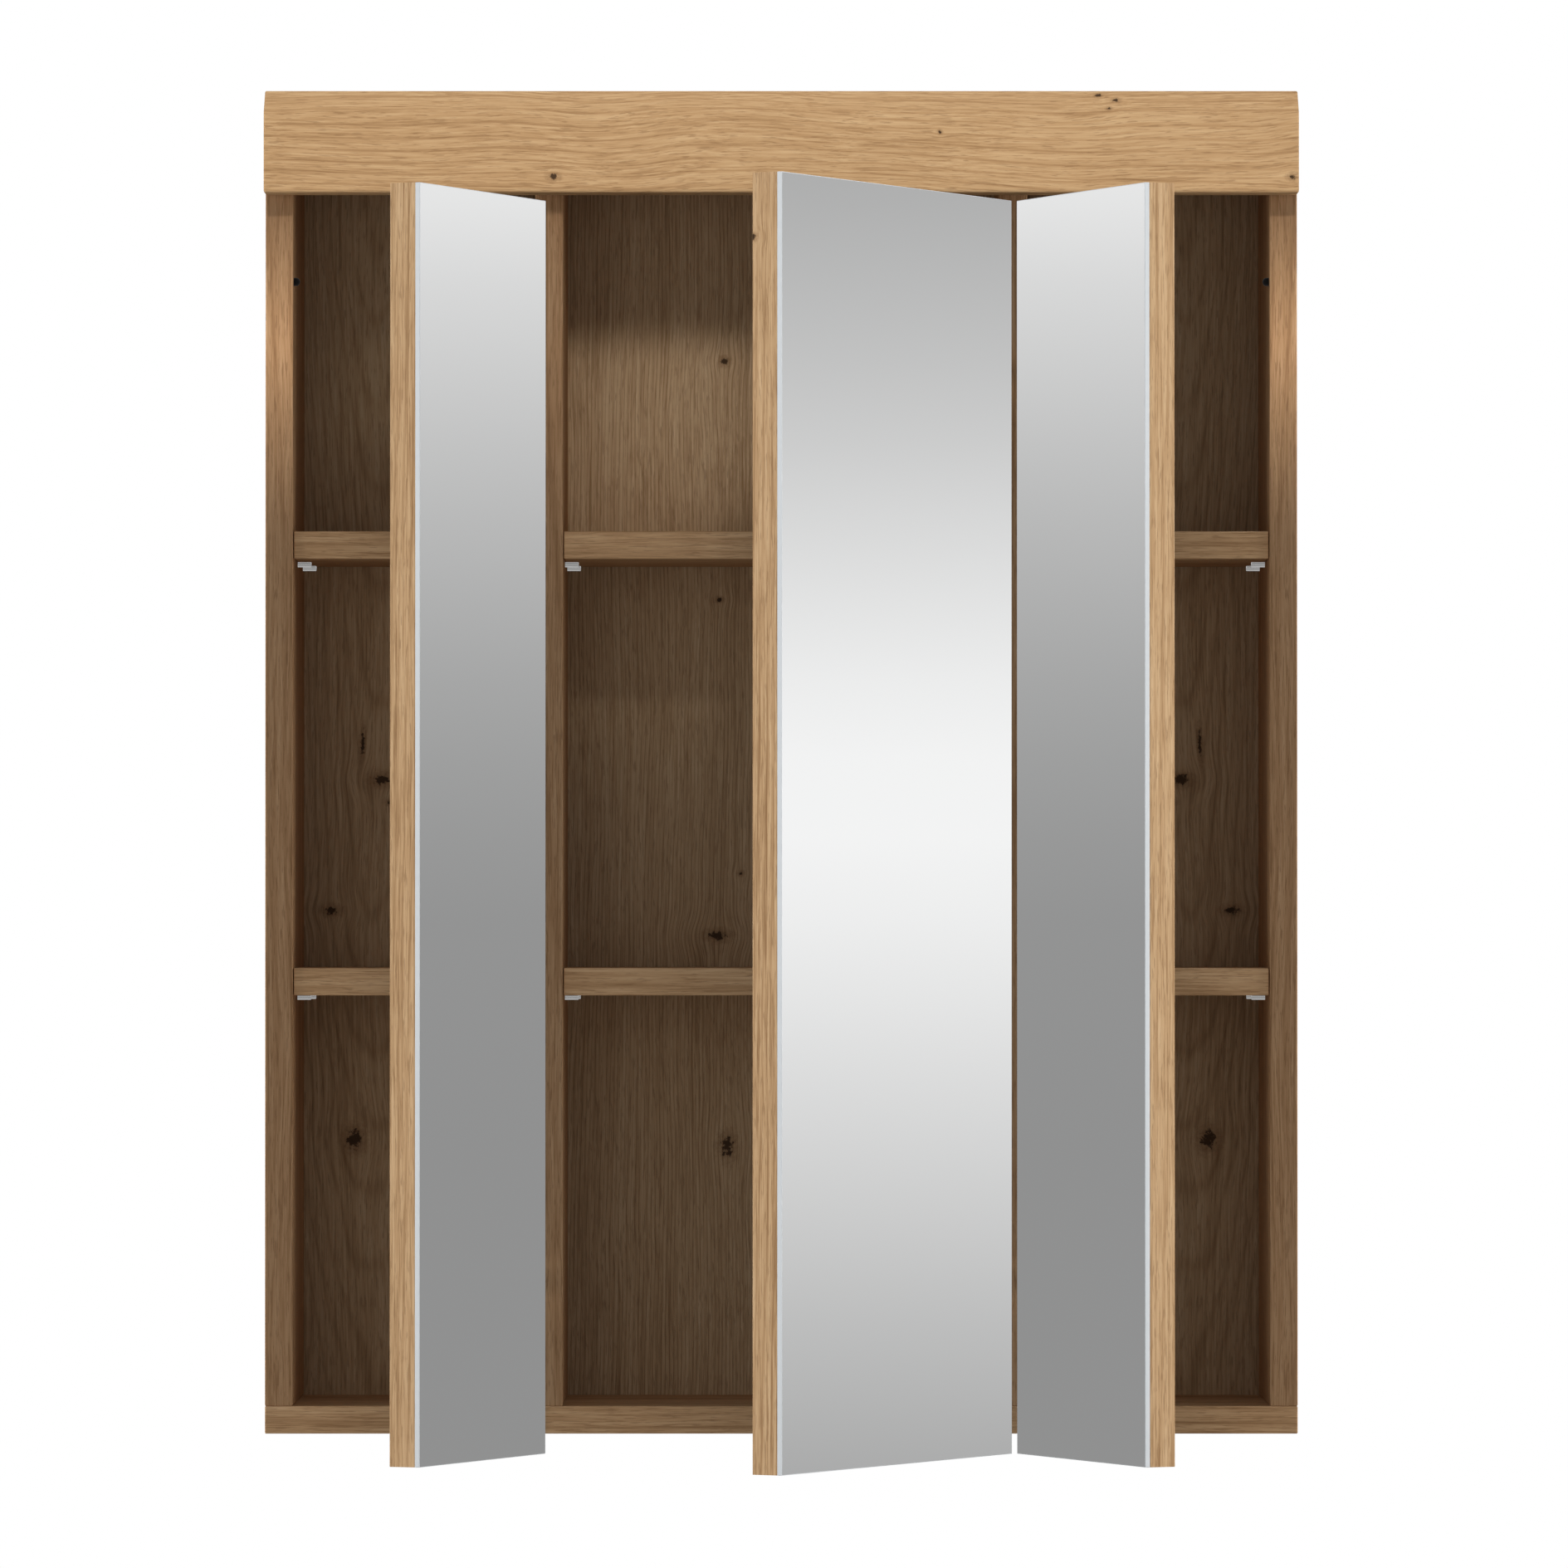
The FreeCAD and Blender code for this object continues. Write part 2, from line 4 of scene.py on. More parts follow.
import bpy
import numpy as np
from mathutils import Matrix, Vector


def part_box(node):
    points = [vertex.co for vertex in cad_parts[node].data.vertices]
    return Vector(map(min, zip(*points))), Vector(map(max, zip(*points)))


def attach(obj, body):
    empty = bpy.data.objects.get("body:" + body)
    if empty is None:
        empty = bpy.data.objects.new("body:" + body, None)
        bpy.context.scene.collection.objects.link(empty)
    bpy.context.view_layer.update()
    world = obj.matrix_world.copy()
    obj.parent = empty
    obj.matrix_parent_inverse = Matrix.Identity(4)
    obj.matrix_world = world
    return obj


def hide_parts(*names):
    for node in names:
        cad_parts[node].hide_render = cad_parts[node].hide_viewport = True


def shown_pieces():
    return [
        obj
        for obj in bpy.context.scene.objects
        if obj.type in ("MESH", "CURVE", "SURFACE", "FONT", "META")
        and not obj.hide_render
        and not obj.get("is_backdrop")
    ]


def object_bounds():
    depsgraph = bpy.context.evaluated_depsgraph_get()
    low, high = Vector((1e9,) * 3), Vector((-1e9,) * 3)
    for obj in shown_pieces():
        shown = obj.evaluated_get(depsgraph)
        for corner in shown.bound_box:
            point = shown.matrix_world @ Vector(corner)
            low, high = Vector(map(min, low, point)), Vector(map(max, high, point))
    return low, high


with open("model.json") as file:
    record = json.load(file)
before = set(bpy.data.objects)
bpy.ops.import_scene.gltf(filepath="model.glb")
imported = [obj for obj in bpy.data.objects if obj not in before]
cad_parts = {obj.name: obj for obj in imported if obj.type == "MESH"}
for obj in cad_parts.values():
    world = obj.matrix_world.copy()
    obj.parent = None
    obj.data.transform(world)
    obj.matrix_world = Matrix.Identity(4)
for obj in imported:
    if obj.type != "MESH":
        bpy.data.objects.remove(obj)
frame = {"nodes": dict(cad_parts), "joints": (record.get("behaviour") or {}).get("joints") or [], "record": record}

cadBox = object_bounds()
mm = 0.001
nodes = frame["nodes"]
bodyOf = {node: body for body, members in frame["record"]["behaviour"]["bodies"].items() for node in members}
slotOf = {row["node"]: row["material_slot"] for row in frame["record"]["subparts"]}
jointOf = {joint["child"]: joint for joint in frame["joints"]}
doorNames = ("left", "middle", "right")
print("frame:", len(nodes), "nodes,", len(jointOf), "door joints")


# a value set on a socket, or another socket wired to it
def feed(tree, socket, value):
    if isinstance(value, bpy.types.NodeSocket):
        tree.links.new(value, socket)
    else:
        socket.default_value = value


# one shader node with its settings and inputs
def put(tree, kind, values=None, **settings):
    made = tree.nodes.new("ShaderNode" + kind)
    for key, value in settings.items():
        setattr(made, key, value)
    for key, value in (values or {}).items():
        feed(tree, made.inputs[key], value)
    return made


# the result of one Math node
def calc(tree, operation, *values):
    return put(tree, "Math", dict(enumerate(values)), operation=operation).outputs[0]


# the same for two vectors
def calcVector(tree, operation, first, second):
    return put(tree, "VectorMath", {0: first, 1: second}, operation=operation).outputs[0]


# a smooth rise from 0 at low to 1 at high, held at both ends
def rise(tree, value, low, high):
    ends = {"Value": value, "From Min": low, "From Max": high}
    return put(tree, "MapRange", ends, interpolation_type="SMOOTHSTEP").outputs["Result"]


colourSockets = {"amount": 0, "first": 6, "second": 7, "result": 2}  # where a Mix node keeps its colours


# the first colour where the amount is 0, the second where it is 1
def blendColours(tree, amount, first, second, mode="MIX"):
    made = put(tree, "Mix", data_type="RGBA", blend_type=mode)
    for socket, value in (("amount", amount), ("first", first), ("second", second)):
        feed(tree, made.inputs[colourSockets[socket]], value)
    return made.outputs[colourSockets["result"]]


# noise on coordinates stretched along the first axis
def streaks(tree, place, along, across, detail, roughness=0.55):
    scaled = calcVector(tree, "MULTIPLY", place, (along, across, across))
    settings = {"Vector": scaled, "Scale": 1.0, "Detail": detail, "Roughness": roughness}
    return put(tree, "TexNoise", settings).outputs[0]


def startMaterial(name):
    material = bpy.data.materials.new(name)
    material.use_nodes = True
    tree = material.node_tree
    return material, tree, tree.nodes["Principled BSDF"]


def addBump(tree, shader, height, strength, distance):
    bump = put(tree, "Bump", {"Strength": strength, "Distance": distance, "Height": height})
    tree.links.new(bump.outputs[0], shader.inputs["Normal"])


oak = {
    "light": (0.62, 0.405, 0.212, 1), "middle": (0.505, 0.305, 0.147, 1), "dark": (0.285, 0.152, 0.064, 1),
    "stops": {"dark": 0.05, "middle": 0.55, "light": 1.0}, "shade": 0.62,
    "gloss": 0.0, "roughness": (0.45, 0.62), "bump": 0.5,
    "bands": (1.5, 40.0), "fibres": (30.0, 1000.0), "pores": (85.0, 1250.0),  # along and across the grain
    "pore": (0.27, 0.148, 0.066, 1), "poreShare": 0.5, "poreStep": (0.54, 0.66), "poreDepth": 0.05 * mm,
    "fibreRelief": 0.5, "drift": 9.0, "bandTurns": 7.0, "ringBreaks": (0.3, 0.6), "rearFacing": (0.75, 0.9),
}
knotLook = {
    "core": (0.075, 0.043, 0.024, 1), "coreEdge": (1.1, 0.6),
    "rim": (0.24, 0.128, 0.058, 1), "rimEdge": (2.6, 0.9), "rimShare": 0.5,
    "ragged": 3.4, "raggedScale": 420.0, "reach": 4.0, "pull": 0.38,
}
chipboard = {"scale": 480.0, "light": (0.48, 0.355, 0.23, 1), "dark": (0.33, 0.235, 0.145, 1)}
fibreboard = {"scale": 1500.0, "light": (0.36, 0.245, 0.145, 1), "dark": (0.29, 0.19, 0.11, 1)}
plainGrain = {
    "swell": 4.0, "lines": (7.0, 330.0), "bandDepth": 0.5, "lineDepth": 1.25, "fibreDepth": 1.55,
    "ringSharp": 7, "mirrored": False, "fineRings": None, "knots": (), "rear": None, "toneAndLightTint": (1, 1, 1, 1),
}


# Each knot has a ragged dark core and a softer rim, by the distance from its middle in units of its own size.
# It squeezes the across coordinate towards that middle, so the grain parts round it.
def partRoundKnots(tree, where, along, across, grain):
    scale = knotLook["raggedScale"]
    noise = streaks(tree, where, scale, scale, detail=5, roughness=0.7)
    ragged = calc(tree, "MULTIPLY_ADD", noise, knotLook["ragged"], -knotLook["ragged"] / 2)
    core = rim = 0.0
    for spot in grain["knots"]:
        dAlong = calc(tree, "SUBTRACT", along, spot["along"] + grain["shift"][0])
        dAcross = calc(tree, "SUBTRACT", across, spot["across"])
        shareAlong = calc(tree, "MULTIPLY", dAlong, 1 / (spot["size"] * spot["long"]))
        shareAcross = calc(tree, "MULTIPLY", dAcross, 1 / spot["size"])
        squares = calc(tree, "ADD", calc(tree, "POWER", shareAlong, 2), calc(tree, "POWER", shareAcross, 2))
        far = calc(tree, "SQRT", squares)
        fuzzy = calc(tree, "ADD", far, ragged)
        core = calc(tree, "MAXIMUM", core, rise(tree, fuzzy, *knotLook["coreEdge"]))
        rim = calc(tree, "MAXIMUM", rim, rise(tree, fuzzy, *knotLook["rimEdge"]))
        fall = calc(tree, "MULTIPLY", calc(tree, "POWER", far, 2), -1 / knotLook["reach"] ** 2)
        pull = calc(tree, "MULTIPLY", calc(tree, "EXPONENT", fall), knotLook["pull"])
        across = calc(tree, "SUBTRACT", across, calc(tree, "MULTIPLY", dAcross, pull))
    return across, core, rim


# slow noise that bends the place across the grain and in depth
def wanderAcross(tree, place, grain):
    stretched = calcVector(tree, "MULTIPLY", place, (grain["swell"], oak["drift"], oak["drift"]))
    noise = put(tree, "TexNoise", {"Vector": stretched, "Scale": 1.0, "Detail": 2.0}).outputs["Color"]
    centred = calcVector(tree, "SUBTRACT", noise, (0.5, 0.5, 0.5))
    reach = 2 * grain["wander"]
    return calcVector(tree, "ADD", place, calcVector(tree, "MULTIPLY", centred, (0, reach, reach)))


# Growth rings are the distance from a pith line that leans away from the grain, so faces show arches and
# edges show lines. A sine of that distance, raised to a power, gives thin lines, and the fibres break them.
# Fine rings are closer lines up to a distance from the middle, and the lines past it are fainter.
def ringLines(tree, bent, bands, fibres, grain):
    pithAcross, pithDepth, lean = grain["pith"]
    dAcross = calc(tree, "SUBTRACT", bent[1], pithAcross)
    leaning = calc(tree, "MULTIPLY", bent[0], lean)
    dDepth = calc(tree, "ADD", calc(tree, "SUBTRACT", bent[2], pithDepth), leaning)
    squares = calc(tree, "ADD", calc(tree, "POWER", dAcross, 2), calc(tree, "POWER", dDepth, 2))
    away = calc(tree, "SQRT", squares)
    turns = calc(tree, "MULTIPLY", away, 2 * math.pi / grain["ringSpacing"])
    fine = grain["fineRings"]
    if fine:
        closer = 2 * math.pi * (1 / fine["spacing"] - 1 / grain["ringSpacing"])
        within = calc(tree, "MINIMUM", bent[1], fine["within"])
        turns = calc(tree, "SUBTRACT", turns, calc(tree, "MULTIPLY", within, closer))
    turns = calc(tree, "ADD", turns, calc(tree, "MULTIPLY", bands, oak["bandTurns"]))
    wave = calc(tree, "MULTIPLY_ADD", calc(tree, "SINE", turns), 0.5, 0.5)
    ring = calc(tree, "POWER", wave, grain["ringSharp"])
    ring = calc(tree, "MULTIPLY", ring, rise(tree, fibres, *oak["ringBreaks"]))
    if fine:
        past = rise(tree, bent[1], fine["within"], fine["within"] + fine["fade"])
        ring = calc(tree, "MULTIPLY", ring, calc(tree, "MULTIPLY_ADD", past, -fine["fainter"], 1.0))
    return ring


# dark to light oak over the shade
def oakRamp(tree, shade):
    ramp = put(tree, "ValToRGB", {0: shade})
    ramp.color_ramp.elements.new(oak["stops"]["middle"])
    for element, tone in zip(ramp.color_ramp.elements, ("dark", "middle", "light")):
        element.position = oak["stops"][tone]
        element.color = oak[tone]
    return ramp.outputs[0]


# bare board on faces that look towards the wall: small cells of two tones
def bareRear(tree, where, colour, rear):
    facing = put(tree, "SeparateXYZ", {0: put(tree, "TexCoord").outputs["Normal"]}).outputs[1]
    cells = put(tree, "TexVoronoi", {"Vector": where, "Scale": rear["scale"]}).outputs["Color"]
    tone = put(tree, "SeparateColor", {0: cells}).outputs[0]
    bare = blendColours(tree, tone, rear["light"], rear["dark"])
    return blendColours(tree, rise(tree, facing, *oak["rearFacing"]), colour, bare)


# Oak decor at place = (along the grain, across it, depth). The shade is a middle value plus bands, lines and
# fibres, all stretched noise, less the rings. Pores and knots are laid over its colour.
def oakMaterial(name, grain):
    grain = dict(plainGrain, **grain)
    material, tree, shader = startMaterial(name)
    where = put(tree, "TexCoord").outputs["Object"]
    split = put(tree, "SeparateXYZ", {0: where}).outputs
    along, across, depth = (split["xyz".index(letter)] for letter in grain["axes"])
    if grain["mirrored"]:
        across = calc(tree, "ABSOLUTE", across)
    along = calc(tree, "ADD", along, grain["shift"][0])
    if grain["knots"]:
        across, core, rim = partRoundKnots(tree, where, along, across, grain)
    across = calc(tree, "ADD", across, grain["shift"][1])
    place = put(tree, "CombineXYZ", {0: along, 1: across, 2: depth}).outputs[0]
    place = wanderAcross(tree, place, grain)
    bent = put(tree, "SeparateXYZ", {0: place}).outputs
    bands = streaks(tree, place, *oak["bands"], detail=2)
    lines = streaks(tree, place, *grain["lines"], detail=4, roughness=0.62)
    fibres = streaks(tree, place, *oak["fibres"], detail=3, roughness=0.6)
    pores = rise(tree, streaks(tree, place, *oak["pores"], detail=2), *oak["poreStep"])
    shade = oak["shade"]
    for noise, depthName in ((bands, "bandDepth"), (lines, "lineDepth"), (fibres, "fibreDepth")):
        reach = grain[depthName]
        shade = calc(tree, "ADD", shade, calc(tree, "MULTIPLY_ADD", noise, reach, -reach / 2))
    ring = ringLines(tree, bent, bands, fibres, grain)
    shade = calc(tree, "SUBTRACT", shade, calc(tree, "MULTIPLY", ring, grain["ringDepth"]))
    poreShare = calc(tree, "MULTIPLY", pores, oak["poreShare"])
    colour = blendColours(tree, poreShare, oakRamp(tree, shade), oak["pore"])
    # the tint is partly the board's own tone and partly painted light and shade: it lightens the shelves and doors
    # and cools the shaded back panel
    colour = blendColours(tree, 1.0, colour, grain["toneAndLightTint"], "MULTIPLY")
    if grain["knots"]:
        rimShare = calc(tree, "MULTIPLY", rim, knotLook["rimShare"])
        colour = blendColours(tree, rimShare, colour, knotLook["rim"])
        colour = blendColours(tree, core, colour, knotLook["core"])
    if grain["rear"]:
        colour = bareRear(tree, where, colour, grain["rear"])
    tree.links.new(colour, shader.inputs["Base Color"])
    low, high = oak["roughness"]
    tree.links.new(calc(tree, "MULTIPLY_ADD", lines, high - low, low), shader.inputs["Roughness"])
    shader.inputs["Specular IOR Level"].default_value = oak["gloss"]
    relief = calc(tree, "SUBTRACT", calc(tree, "MULTIPLY", fibres, oak["fibreRelief"]), pores)
    addBump(tree, shader, relief, oak["bump"], oak["poreDepth"])
    return material


knotRows = {  # across, along and size across the grain in millimetres, and the length in those sizes
    "back": ((254, -580, 4.4, 1.2), (268, -444, 3.8, 0.6), (238, -366, 4.6, 0.6), (249, -345, 1.1, 7.0),
             (233, -379, 1.6, 1.0), (38, -459, 5.2, 0.5), (32, -584, 3.4, 1.6), (34, -117, 2.2, 0.9),
             (37, -259, 1.8, 0.7), (24, -422, 1.3, 0.9)),
    "crown": ((-19, -132, 1.7, 1.5), (-19, 296, 1.5, 1.2), (26, 194, 1.0, 2.0), (21, 190, 0.9, 1.4),
              (29, 184, 0.9, 2.0), (7, 92, 0.9, 1.2)),
    "door": ((-16, -68, 1.7, 0.9),),
}
knots = {board: [{"across": across * mm, "along": along * mm, "size": size * mm, "long": long}
                 for across, along, size, long in rows] for board, rows in knotRows.items()}
# Tints are partly painted light and shade: shelves and doors are made lighter and cooler as if lit, and the back
# panel cooler as if in shade.
uprightOak = {
    "axes": "zxy", "shift": (0.37, 0.11), "wander": 5 * mm, "pith": (0.02, 0.09, 0.05), "ringSpacing": 9 * mm,
    "ringDepth": 0.25, "mirrored": True, "rear": chipboard, "toneAndLightTint": (1.02, 0.95, 0.97, 1),
}
levelOak = {
    "axes": "xzy", "shift": (0.8, 0.4), "wander": 5 * mm, "pith": (0.03, 0.07, 0.04), "ringSpacing": 9 * mm,
    "ringDepth": 0.25, "rear": chipboard, "toneAndLightTint": (1.1, 1.08, 1.12, 1),
}
doorOak = {
    "axes": "zxy", "shift": (1.7, 0.63), "wander": 2 * mm, "pith": (0.05, 0.12, 0.03), "ringSpacing": 5 * mm,
    "ringDepth": 0.3, "lines": (5.0, 620.0), "lineDepth": 1.4, "fibreDepth": 1.7, "knots": knots["door"],
    "toneAndLightTint": (1.06, 1.1, 1.19, 1),
}
crownOak = {
    "axes": "xzy", "shift": (0.25, 0.03), "wander": 13 * mm, "swell": 5.0, "pith": (-0.13, -0.17, 0.12),
    "ringSpacing": 7 * mm, "ringSharp": 14, "ringDepth": 0.4, "bandDepth": 0.3, "lineDepth": 0.95,
    "fibreDepth": 1.4, "knots": knots["crown"],
}
# painted shade: the back panel's cool tint stands in for the shade inside the cabinet
backOak = {
    "axes": "zxy", "shift": (0.0, 0.0), "wander": 9 * mm, "pith": (0.235, 0.02, 0.07),
    "ringSpacing": 3.8 * mm, "ringSharp": 6, "ringDepth": 0.46,
    "fineRings": {"spacing": 2.1 * mm, "within": 135 * mm, "fade": 8 * mm, "fainter": 0.35},
    "lines": (9.0, 480.0), "lineDepth": 1.3, "fibreDepth": 1.05, "knots": knots["back"],
    "mirrored": True, "rear": fibreboard, "toneAndLightTint": (1.042, 1.148, 1.322, 1),
}
dowelOak = dict(doorOak, shift=(3.1, 1.4))  # the door's grain at another place
silvering = {
    "face": (0.93, 0.935, 0.935, 1), "edgeTones": ((0.66, 0.68, 0.685, 1), (0.72, 0.735, 0.735, 1)),
    "edgeScale": 240.0, "faceRoughness": 0.01, "edgeRoughness": 0.31, "smear": 0.02, "smearScale": 9.0,
    "faceTurn": (0.97, 0.995),  # cosines of the angle from the face's direction
}


# silvered glass: a clean reflection on the front face, pale ground glass on the narrow edges
def mirrorMaterial(name, facing):
    material, tree, shader = startMaterial(name)
    normal = put(tree, "TexCoord").outputs["Normal"]
    turned = put(tree, "VectorMath", {0: normal, 1: facing}, operation="DOT_PRODUCT").outputs["Value"]
    face = rise(tree, turned, *silvering["faceTurn"])
    where = put(tree, "TexCoord").outputs["Object"]
    cloud = put(tree, "TexNoise", {"Vector": where, "Scale": silvering["edgeScale"], "Detail": 3.0})
    edge = blendColours(tree, cloud.outputs[0], *silvering["edgeTones"])
    tree.links.new(blendColours(tree, face, edge, silvering["face"]), shader.inputs["Base Color"])
    tree.links.new(face, shader.inputs["Metallic"])
    smear = put(tree, "TexNoise", {"Vector": where, "Scale": silvering["smearScale"], "Detail": 4.0})
    smear = calc(tree, "MULTIPLY", smear.outputs[0], silvering["smear"])
    smoother = silvering["faceRoughness"] - silvering["edgeRoughness"]
    rough = calc(tree, "MULTIPLY_ADD", face, smoother, silvering["edgeRoughness"])
    tree.links.new(calc(tree, "ADD", rough, smear), shader.inputs["Roughness"])
    return material


metal = {"roughnessSpread": 0.18, "bump": 0.3, "scratch": 0.01 * mm}
nickelSteel = {
    "light": (0.74, 0.73, 0.72, 1), "dark": (0.58, 0.57, 0.56, 1), "roughness": 0.1, "brushed": (60, 900),
}
satinLeaf = {
    "light": (0.62, 0.615, 0.60, 1), "dark": (0.48, 0.475, 0.465, 1), "roughness": 0.26, "brushed": (60, 900),
}
zincPlate = {
    "light": (0.36, 0.365, 0.375, 1), "dark": (0.25, 0.255, 0.265, 1), "roughness": 0.22,
    "brushed": (300, 300),
}
plastic = {"roughnessSpread": 0.15, "bump": 0.4, "pimple": 0.02 * mm}
darkPlug = {
    "tones": ((0.012, 0.011, 0.010, 1), (0.02, 0.018, 0.017, 1)), "roughness": 0.5, "mottle": 900.0,
    "gloss": 0.1,
}
softBumper = {
    "tones": ((0.62, 0.62, 0.60, 1), (0.74, 0.74, 0.72, 1)), "roughness": 0.3, "mottle": 500.0, "gloss": 0.4,
}


# fine brushed lines, which are noise stretched along x, change the tone, the roughness and the bump
def metalMaterial(name, plate):
    material, tree, shader = startMaterial(name)
    lines = streaks(tree, put(tree, "TexCoord").outputs["Object"], *plate["brushed"], detail=3)
    tree.links.new(blendColours(tree, lines, plate["dark"], plate["light"]), shader.inputs["Base Color"])
    rough = calc(tree, "MULTIPLY_ADD", lines, metal["roughnessSpread"], plate["roughness"])
    tree.links.new(rough, shader.inputs["Roughness"])
    shader.inputs["Metallic"].default_value = 1.0
    addBump(tree, shader, lines, metal["bump"], metal["scratch"])
    return material


# fine mottled noise does the same for moulded plastic
def plasticMaterial(name, mould):
    material, tree, shader = startMaterial(name)
    where = put(tree, "TexCoord").outputs["Object"]
    mottle = put(tree, "TexNoise", {"Vector": where, "Scale": mould["mottle"], "Detail": 4.0}).outputs[0]
    tree.links.new(blendColours(tree, mottle, *mould["tones"]), shader.inputs["Base Color"])
    rough = calc(tree, "MULTIPLY_ADD", mottle, plastic["roughnessSpread"], mould["roughness"])
    tree.links.new(rough, shader.inputs["Roughness"])
    shader.inputs["Specular IOR Level"].default_value = mould["gloss"]
    addBump(tree, shader, mottle, plastic["bump"], plastic["pimple"])
    return material


finishes = {
    "upright": oakMaterial("oakUpright", uprightOak),
    "level": oakMaterial("oakLevel", levelOak),
    "door": oakMaterial("oakDoor", doorOak),
    "crown": oakMaterial("oakCrown", crownOak),
    "back": oakMaterial("oakBack", backOak),
    "nickel": metalMaterial("nickelSteel", nickelSteel),
    "leaf": metalMaterial("satinLeaf", satinLeaf),
    "zinc": metalMaterial("zincPlate", zincPlate),
    "beech": oakMaterial("beechDowel", dowelOak),
    "plug": plasticMaterial("darkPlug", darkPlug),
    "bumper": plasticMaterial("softBumper", softBumper),
}
print("finishes:", len(finishes))


# a mesh object that rides on a body and stands for a CAD node
def finishPiece(name, points, faces, material, body, node, smoothAngle=None):
    mesh = bpy.data.meshes.new(name)
    mesh.from_pydata(points, [], faces)
    mesh.update()
    if smoothAngle is not None:
        mesh.polygons.foreach_set("use_smooth", np.ones(len(mesh.polygons), bool))
        mesh.set_sharp_from_angle(angle=math.radians(smoothAngle))
    mesh.materials.append(material)
    piece = bpy.data.objects.new(name, mesh)
    bpy.context.scene.collection.objects.link(piece)
    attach(piece, body)
    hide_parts(node)


# faces of a stack of closed rings, with both ends capped
def ringFaces(rings, count):
    low = np.arange(count)
    high = (low + 1) % count
    start = (np.arange(rings - 1) * count)[:, None]
    sides = np.stack([start + low, start + high, start + count + high, start + count + low], -1)
    caps = [low[::-1].tolist(), (low + (rings - 1) * count).tolist()]
    return sides.reshape(-1, 4).tolist() + caps


# A profile carried straight from one end to the other. Near each end it shrinks along its inset directions
# on a quarter circle, which eases the end's edges.
def carryProfile(profile, inset, ends, radius, basis, origin=(0, 0, 0), steps=3):
    turn = np.linspace(0, math.pi / 2, steps + 1)
    shrink = radius * (1 - np.sin(turn))
    travel = radius * (1 - np.cos(turn))
    shrink = np.concatenate([shrink, shrink[::-1]])
    along = np.concatenate([ends[0] + travel, ends[1] - travel[::-1]])
    flat = profile[None] - shrink[:, None, None] * inset[None]
    first, second, third = (np.array(axis, float) for axis in basis)
    points = flat[..., :1] * first + flat[..., 1:] * second + along[:, None, None] * third
    points = points + np.array(origin, float)
    return points.reshape(-1, 3), ringFaces(len(along), len(profile))


# a rectangle whose corners are quarter circles, with the outward direction at each point
def roundedRectangle(low, high, radius, steps=3):
    turn = np.linspace(0, math.pi / 2, steps + 1)
    quarter = np.arange(4)[:, None] * math.pi / 2
    angle = (quarter + turn[None]).ravel()
    outward = np.stack([np.cos(angle), np.sin(angle)], -1)
    diagonal = quarter + math.pi / 4
    side = np.sign(np.stack([np.cos(diagonal), np.sin(diagonal)], -1)).repeat(steps + 1, 0)
    middle, half = (np.array(low) + high) / 2, (np.array(high) - low) / 2
    return middle + side.reshape(-1, 2) * (half - radius) + radius * outward, outward


shelves = tuple(f"{door}_{row}_shelf" for door in doorNames for row in ("lower", "upper"))
boards = {
    "radius": 0.7 * mm,
    "upright": ("left_side_panel", "right_side_panel", "left_partition", "right_partition"),
    "level": ("bottom_panel", "top_panel") + shelves,
}
unit = np.eye(3)
for finish in ("upright", "level"):
    for node in boards[finish]:
        low, high = (np.array(corner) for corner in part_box(node))
        profile, inset = roundedRectangle(low[:2], high[:2], boards["radius"])
        points, faces = carryProfile(profile, inset, (low[2], high[2]), boards["radius"], unit)
        finishPiece(f"{node}_eased", points, faces, finishes[finish], bodyOf[node], node)
print("boards:", len(boards["upright"]) + len(boards["level"]))

crown = {
    "bevelHeight": 13 * mm, "bevelDepth": 16 * mm, "lowerRadius": 2.5 * mm, "edgeRadius": 0.9 * mm,
    "steps": 5,
}


# a corner of a profile as an arc that touches both its sides, with the outward direction at each point
def roundCorner(before, corner, after, radius, steps):
    inward = [np.array(other) - corner for other in (before, after)]
    inward = [vector / np.linalg.norm(vector) for vector in inward]
    half = math.acos(np.clip(np.dot(*inward), -1, 1)) / 2
    middle = sum(inward) / np.linalg.norm(sum(inward))
    centre = np.array(corner) + middle * radius / math.sin(half)
    first, last = (np.array(corner) + vector * radius / math.tan(half) - centre for vector in inward)
    start = math.atan2(first[1], first[0])
    sweep = (math.atan2(last[1], last[0]) - start + math.pi) % (2 * math.pi) - math.pi
    angle = start + sweep * np.linspace(0, 1, steps + 1)
    outward = np.stack([np.cos(angle), np.sin(angle)], -1)
    return centre + radius * outward, outward


low, high = (np.array(corner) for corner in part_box("crown_board"))
corners = [(low[1], low[2]), (high[1], low[2]), (high[1], high[2])]
corners += [(low[1] + crown["bevelDepth"], high[2]), (low[1], high[2] - crown["bevelHeight"])]
count = len(corners)
radii = [crown["lowerRadius"]] + [crown["edgeRadius"]] * (count - 1)
rounded = [roundCorner(corners[k - 1], corners[k], corners[(k + 1) % count], radii[k], crown["steps"])
           for k in range(count)]
profile, inset = (np.concatenate(parts) for parts in zip(*rounded))
points, faces = carryProfile(profile, inset, (low[0], high[0]), crown["edgeRadius"], unit[[1, 2, 0]])
finishPiece("crown_board_eased", points, faces, finishes["crown"], bodyOf["crown_board"], "crown_board")
print("crown:", len(faces), "faces")


# the points of a CAD node's mesh, one row each
def nodePoints(node):
    mesh = nodes[node].data
    points = np.empty(len(mesh.vertices) * 3, np.float32)
    mesh.vertices.foreach_get("co", points)
    return points.reshape(-1, 3)


# a door's hinge line, and the directions along its width and from its mirror to its back, at rest
def doorBasis(door):
    joint = jointOf[f"{door}_door"]
    hinge = np.array(joint["pos_m"], float)
    turn = joint["axis"][2] * math.radians(-joint["range_deg"][0])
    side = -joint["axis"][2]
    width = side * np.array([math.cos(turn), math.sin(turn), 0])
    behind = np.array([-math.sin(turn), math.cos(turn), 0])
    return hinge * [1, 1, 0], width, behind


